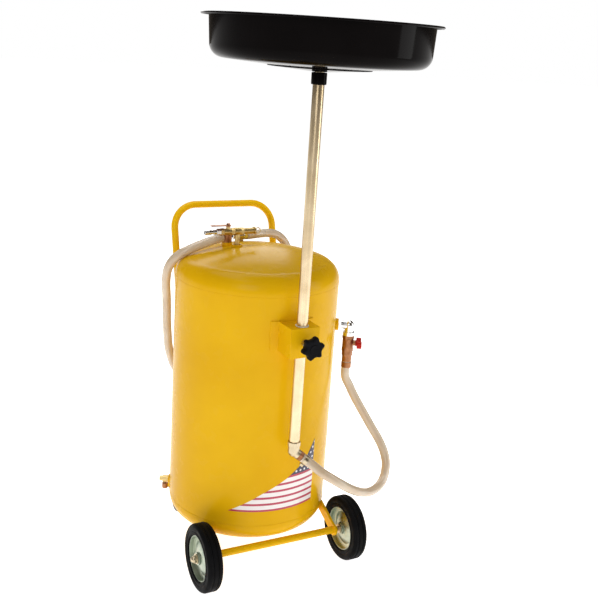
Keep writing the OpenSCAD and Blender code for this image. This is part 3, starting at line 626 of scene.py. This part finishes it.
def make_tyre(node, name):
    """Solid tyre: three ribs on the tread, round shoulders and two rings on each side wall."""
    here = middle(node)
    r, half, seat = radius(node, 2), 0.019, 0.0545
    groove = 0.0016
    tread = [(r - 0.006, half), (r - 0.002, half - 0.003), (r, half - 0.007), (r, 0.0075), (r - groove, 0.0068),
             (r - groove, 0.0050), (r, 0.0043)]
    wall = [(seat, half - 0.005), (seat + 0.003, half - 0.0005), (seat + 0.008, half - 0.0005),
            (seat + 0.009, half - 0.0014), (seat + 0.011, half - 0.0014), (seat + 0.012, half - 0.0002)]
    right = wall + tread
    left = [(x, -z) for x, z in right][::-1]
    bm = bmesh.new()
    add_lathe(bm, rounded(right + left, 0.0006, 2), 120, along((1, 0, 0), here))
    stand_for(to_object(name, bm, 30), node)


def make_knob():
    """Moulded star knob: six round lobes, crowned front, a raised cap and a neck."""
    low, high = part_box("clamp_knob")
    front = Vector((mast_at.x, low.y, (low.z + high.z) / 2))
    turn = along((0, -1, 0), front)
    bm = bmesh.new()
    steps = 144

    def loop(depth, inset, cap=None):
        ring = []
        for i in range(steps):
            a = 2 * pi * i / steps
            lobe = 0.5 + 0.5 * cos(6 * (a - radians(15)))
            r = (0.0212 + 0.0066 * lobe ** 1.6) * (1 - inset) if cap is None else cap
            ring.append(bm.verts.new(turn @ Vector((r * cos(a), r * sin(a), -depth))))
        return ring

    rings = [loop(0.0010, 0, 0.004), loop(0.0004, 0, 0.0085), loop(0.0004, 0, 0.010), loop(0.0018, 0, 0.0108),
             loop(0.0018, 0.36), loop(0.0016, 0.20), loop(0.0024, 0.09), loop(0.0046, 0.02), loop(0.0075, 0),
             loop(0.0145, 0), loop(0.0178, 0.03), loop(0.0194, 0.10), loop(0.0200, 0.22),
             loop(0.0202, 0, 0.0112), loop(0.0278, 0, 0.0108), loop(0.0280, 0, 0.0100)]
    for a, b in zip(rings, rings[1:]):
        for i in range(steps):
            k = (i + 1) % steps
            bm.faces.new([a[i], a[k], b[k], b[i]])
    bm.faces.new(rings[0])
    bm.faces.new(rings[-1])
    stand_for(to_object("star_knob", bm, 35), "clamp_knob")


def make_sticker():
    """Vinyl that follows the tank's wall: a long band that climbs to a point on the right."""
    edge = [(-0.122, 0.175), (-0.050, 0.222), (0.010, 0.255), (0.048, 0.281), (0.072, 0.306), (0.093, 0.339)]
    foot, columns, rows = 0.1745, 72, 16

    def height(x):
        for (x0, z0), (x1, z1) in zip(edge, edge[1:]):
            if x <= x1 + 1e-9:
                return z0 + (z1 - z0) * (x - x0) / (x1 - x0)
        return edge[-1][1]

    bm = bmesh.new()
    sheets = []
    for rise in (0.0004, 0.00012):
        sheet = []
        for i in range(columns + 1):
            x = edge[0][0] + (edge[-1][0] - edge[0][0]) * i / columns
            r = tank_r + rise
            sheet.append([bm.verts.new(from_tank(x, -sqrt(r * r - x * x), foot + (height(x) - foot) * j / rows))
                          for j in range(rows + 1)])
        sheets.append(sheet)
    for sheet in sheets:
        for i in range(columns):
            for j in range(rows):
                bm.faces.new([sheet[i][j], sheet[i + 1][j], sheet[i + 1][j + 1], sheet[i][j + 1]])
    outer, inner = sheets
    for i in range(columns):
        for j in (0, rows):
            bm.faces.new([outer[i][j], outer[i + 1][j], inner[i + 1][j], inner[i][j]])
    for i in (0, columns):
        for j in range(rows):
            bm.faces.new([outer[i][j], outer[i][j + 1], inner[i][j + 1], inner[i][j]])
    stand_for(to_object("striped_vinyl", bm), "decal")


make_tank()
make_handle()
make_mast()
make_pan()
make_tyre("left_tyre", "left_tread")
make_tyre("right_tyre", "right_tread")
make_knob()
make_sticker()

# Edges of the plates, castings and fittings are rounded over by this much
SOFT_EDGES = {
    0.0010: ("handle_gussets", "axle_struts", "caster_brackets", "mast_bracket", "axle_tube"),
    0.0006: ("tank_bosses", "axle_fasteners", "left_rim", "right_rim", "left_hub", "right_hub", "caster_plates",
             "caster_bolts", "left_caster_fork", "right_caster_fork", "left_caster_pin", "right_caster_pin",
             "left_caster_wheel", "right_caster_wheel", "mast_sleeve", "guide_bushes", "clamp_nut",
             "mast_coupling", "pan_plate", "mast_elbow", "mast_barb", "inlet_elbow", "inlet_valve_body",
             "inlet_handle", "inlet_barb", "spout_clip"),
    0.0004: ("mast_clamp", "inlet_clamp", "air_tee", "air_valve_body", "air_lever", "air_plug", "relief_valve",
             "hose_tail", "cock_body", "cock_knob"),
}
for width, nodes in SOFT_EDGES.items():
    for node in nodes:
        stand_for(softened(node, width), node)

for node, slot in SLOT_OF.items():
    mesh = frame["nodes"][node].data
    mesh.materials.clear()
    mesh.materials.append(LOOKS[slot])
